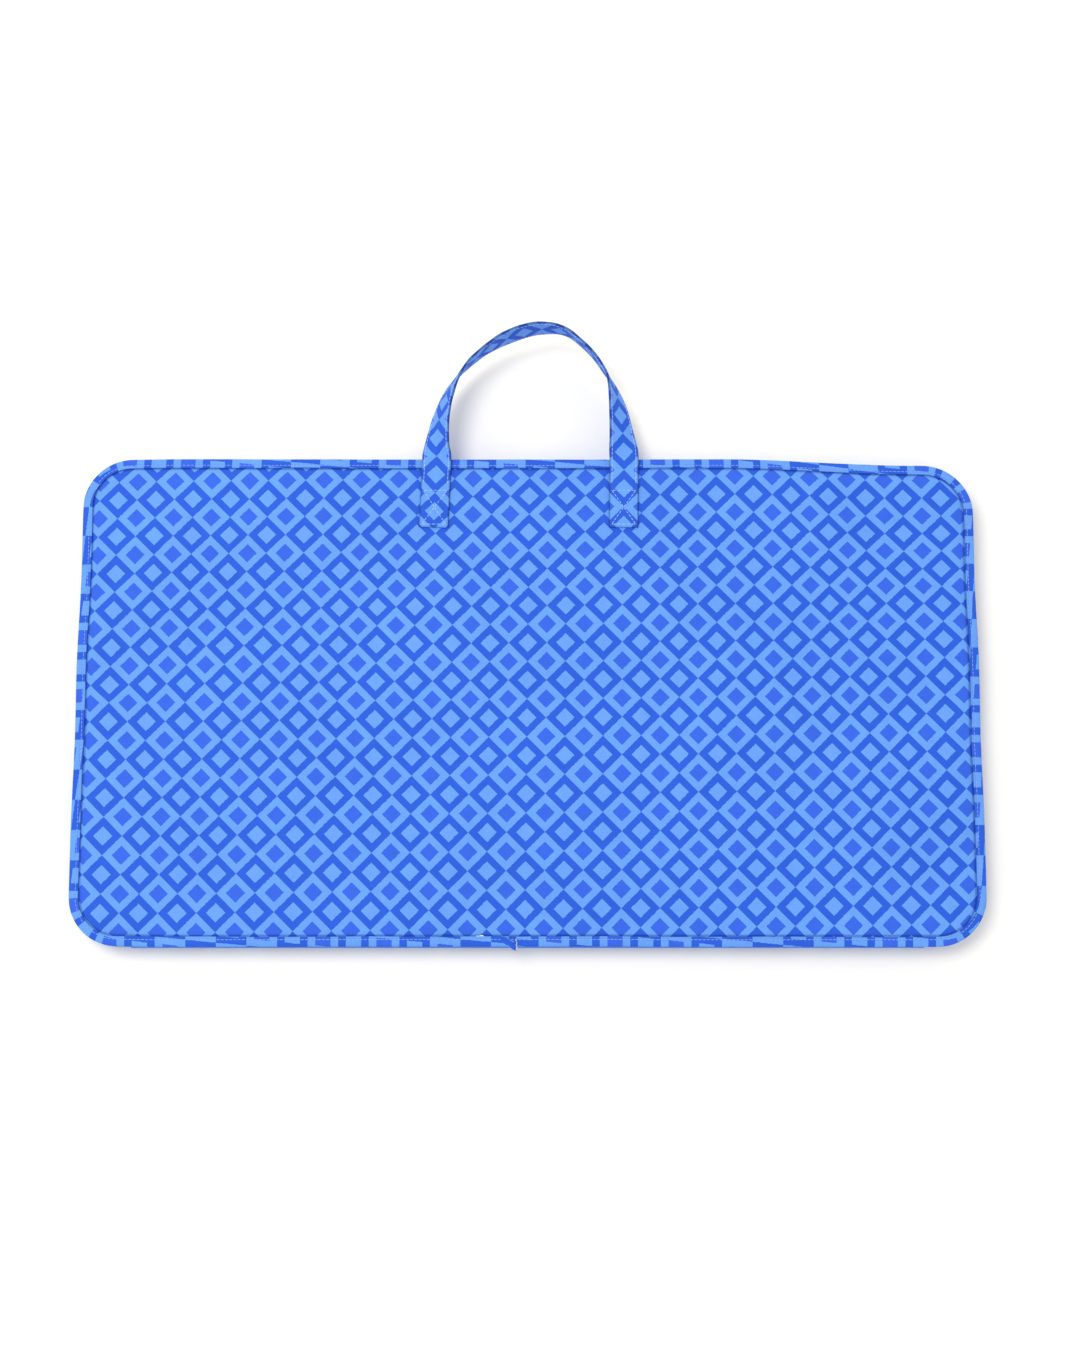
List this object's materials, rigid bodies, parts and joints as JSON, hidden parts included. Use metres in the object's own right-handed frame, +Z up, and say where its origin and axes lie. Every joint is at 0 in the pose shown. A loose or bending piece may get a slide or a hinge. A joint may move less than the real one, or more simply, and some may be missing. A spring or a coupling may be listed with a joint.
{
  "type": "shirt folding board",
  "caption": "Fabric-covered folding board of hinged stiff leaves, bound all round, folded flat, with a looped carry strap on one long edge.",
  "frame": {"origin": "centre of the rear leaf's outer face, which the folded board rests on", "axes": "+X along the long edges, +Y towards the carry strap, +Z up out of the printed front cover"},
  "size_m": [0.55, 0.3847, 0.0336],
  "materials": {
    "printed_cotton": "woven, printed in two blues",
    "bias_binding": "woven, printed in two blues, cut on the bias",
    "strap_cotton": "woven, printed in two blues, edge stitched",
    "lining_cotton": "plain off-white cotton twill",
    "hinge_tape": "plain blue herringbone tape",
    "loop_tape": "soft looped pile",
    "hook_tape": "fine moulded hooks",
    "backing_canvas": "stiff woven canvas",
    "foam": "open-cell foam",
    "greyboard": "dense grey board"
  },
  "bodies": {
    "centre_leaf": {"centre_cover": "printed_cotton", "centre_foam": "foam", "centre_stiffener": "greyboard", "centre_lining": "lining_cotton", "centre_binding": "bias_binding", "front_hinge_tape_inner": "hinge_tape", "rear_hinge_tape_inner": "hinge_tape", "front_hook_patch_left": "hook_tape", "rear_hook_patch_left": "hook_tape", "front_hook_patch_right": "hook_tape", "rear_hook_patch_right": "hook_tape"},
    "front_leaf": {"front_cover": "printed_cotton", "front_foam": "foam", "front_stiffener": "greyboard", "front_lining": "lining_cotton", "front_binding": "bias_binding", "front_hinge_tape_outer": "hinge_tape", "front_loop_patch_left": "loop_tape", "handle_backing_left": "backing_canvas", "handle_tab_left": "strap_cotton", "front_loop_patch_right": "loop_tape", "handle_backing_right": "backing_canvas", "handle_tab_right": "strap_cotton"},
    "rear_leaf": {"rear_cover": "printed_cotton", "rear_foam": "foam", "rear_stiffener": "greyboard", "rear_lining": "lining_cotton", "rear_binding": "bias_binding", "rear_hinge_tape_outer": "hinge_tape", "rear_loop_patch_left": "loop_tape", "rear_loop_patch_right": "loop_tape"},
    "carry_strap": {"handle_loop": "strap_cotton"}
  },
  "joints": [
    {"name": "front_leaf_hinge", "type": "hinge", "parent": "centre_leaf", "child": "front_leaf", "pos_m": [0, -0.1504, 0.0142], "axis": [1, 0, 0], "range_deg": [0, 180]},
    {"name": "rear_leaf_hinge", "type": "hinge", "parent": "centre_leaf", "child": "rear_leaf", "pos_m": [0, 0.1504, 0.0066], "axis": [1, 0, 0], "range_deg": [0, 180]},
    {"name": "carry_strap_flex", "type": "hinge", "parent": "front_leaf", "child": "carry_strap", "pos_m": [0, 0.13, 0.0231], "axis": [1, 0, 0], "range_deg": [0, 160]}
  ]
}
